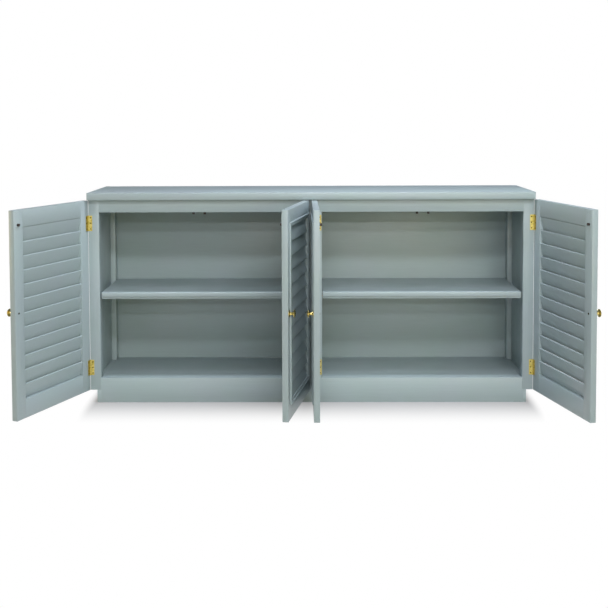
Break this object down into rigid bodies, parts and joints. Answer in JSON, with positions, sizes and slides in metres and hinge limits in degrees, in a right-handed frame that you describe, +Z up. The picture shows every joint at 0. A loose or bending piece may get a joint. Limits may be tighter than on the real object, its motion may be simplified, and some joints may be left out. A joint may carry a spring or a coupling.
{
  "type": "louvred door cabinet",
  "caption": "Low painted sideboard on a plinth with two shelved bays behind hinged louvred doors, round brass knobs and butt hinges.",
  "frame": {"origin": "on the floor, under the middle of the case (face frame front to back panel)", "axes": "+X to the viewer's right along the width, +Y to the back, +Z up"},
  "size_m": [2.1979, 0.7894, 0.873],
  "materials": {
    "case_paint": "satin paint, pale blue-grey",
    "top_paint": "satin paint, pale blue-grey",
    "inside_paint": "satin paint, pale blue-grey",
    "shelf_paint": "satin paint, pale blue-grey",
    "door_paint": "satin paint, pale blue-grey",
    "slat_paint": "satin paint, pale blue-grey",
    "door_moulding_paint": "satin paint, pale blue-grey",
    "peg_wood": "bare hardwood",
    "knob_brass": "polished and lacquered",
    "hinge_brass": "satin",
    "screw_brass": "satin",
    "dark_plastic": "matt dark brown"
  },
  "bodies": {
    "case": {"back_panel": "inside_paint", "catches": "dark_plastic", "centre_partition": "inside_paint", "centre_stile": "case_paint", "floor_board": "inside_paint", "front_apron": "case_paint", "front_post_left": "case_paint", "front_post_right": "case_paint", "hinge_frame_leaves": "hinge_brass", "hinge_frame_screws": "screw_brass", "hinge_pins": "hinge_brass", "plinth_frame": "case_paint", "rear_posts": "case_paint", "shelf_left": "shelf_paint", "shelf_pegs": "peg_wood", "shelf_right": "shelf_paint", "side_panel_left": "case_paint", "side_panel_right": "case_paint", "top_board": "top_paint", "top_rail": "case_paint"},
    "door_1": {"door_1_bottom_rail": "door_paint", "door_1_fixings": "screw_brass", "door_1_free_stile": "door_paint", "door_1_hinge_leaves": "hinge_brass", "door_1_hinge_stile": "door_paint", "door_1_knob": "knob_brass", "door_1_moulding": "door_moulding_paint", "door_1_slats": "slat_paint", "door_1_strike": "dark_plastic", "door_1_top_rail": "door_paint"},
    "door_2": {"door_2_bottom_rail": "door_paint", "door_2_fixings": "screw_brass", "door_2_free_stile": "door_paint", "door_2_hinge_leaves": "hinge_brass", "door_2_hinge_stile": "door_paint", "door_2_knob": "knob_brass", "door_2_moulding": "door_moulding_paint", "door_2_slats": "slat_paint", "door_2_strike": "dark_plastic", "door_2_top_rail": "door_paint"},
    "door_3": {"door_3_bottom_rail": "door_paint", "door_3_fixings": "screw_brass", "door_3_free_stile": "door_paint", "door_3_hinge_leaves": "hinge_brass", "door_3_hinge_stile": "door_paint", "door_3_knob": "knob_brass", "door_3_moulding": "door_moulding_paint", "door_3_slats": "slat_paint", "door_3_strike": "dark_plastic", "door_3_top_rail": "door_paint"},
    "door_4": {"door_4_bottom_rail": "door_paint", "door_4_fixings": "screw_brass", "door_4_free_stile": "door_paint", "door_4_hinge_leaves": "hinge_brass", "door_4_hinge_stile": "door_paint", "door_4_knob": "knob_brass", "door_4_moulding": "door_moulding_paint", "door_4_slats": "slat_paint", "door_4_strike": "dark_plastic", "door_4_top_rail": "door_paint"}
  },
  "joints": [
    {"name": "door_1_swing", "type": "hinge", "parent": "case", "child": "door_1", "pos_m": [-0.9142, -0.1755, 0.4465], "axis": [0, 0, -1], "range_deg": [-113, 56.8]},
    {"name": "door_2_swing", "type": "hinge", "parent": "case", "child": "door_2", "pos_m": [-0.0273, -0.1755, 0.4465], "axis": [0, 0, 1], "range_deg": [-79.4, 2]},
    {"name": "door_3_swing", "type": "hinge", "parent": "case", "child": "door_3", "pos_m": [0.0273, -0.1755, 0.4465], "axis": [0, 0, -1], "range_deg": [-89.1, 0.9]},
    {"name": "door_4_swing", "type": "hinge", "parent": "case", "child": "door_4", "pos_m": [0.9142, -0.1755, 0.4465], "axis": [0, 0, 1], "range_deg": [-104.1, 65.8]}
  ]
}
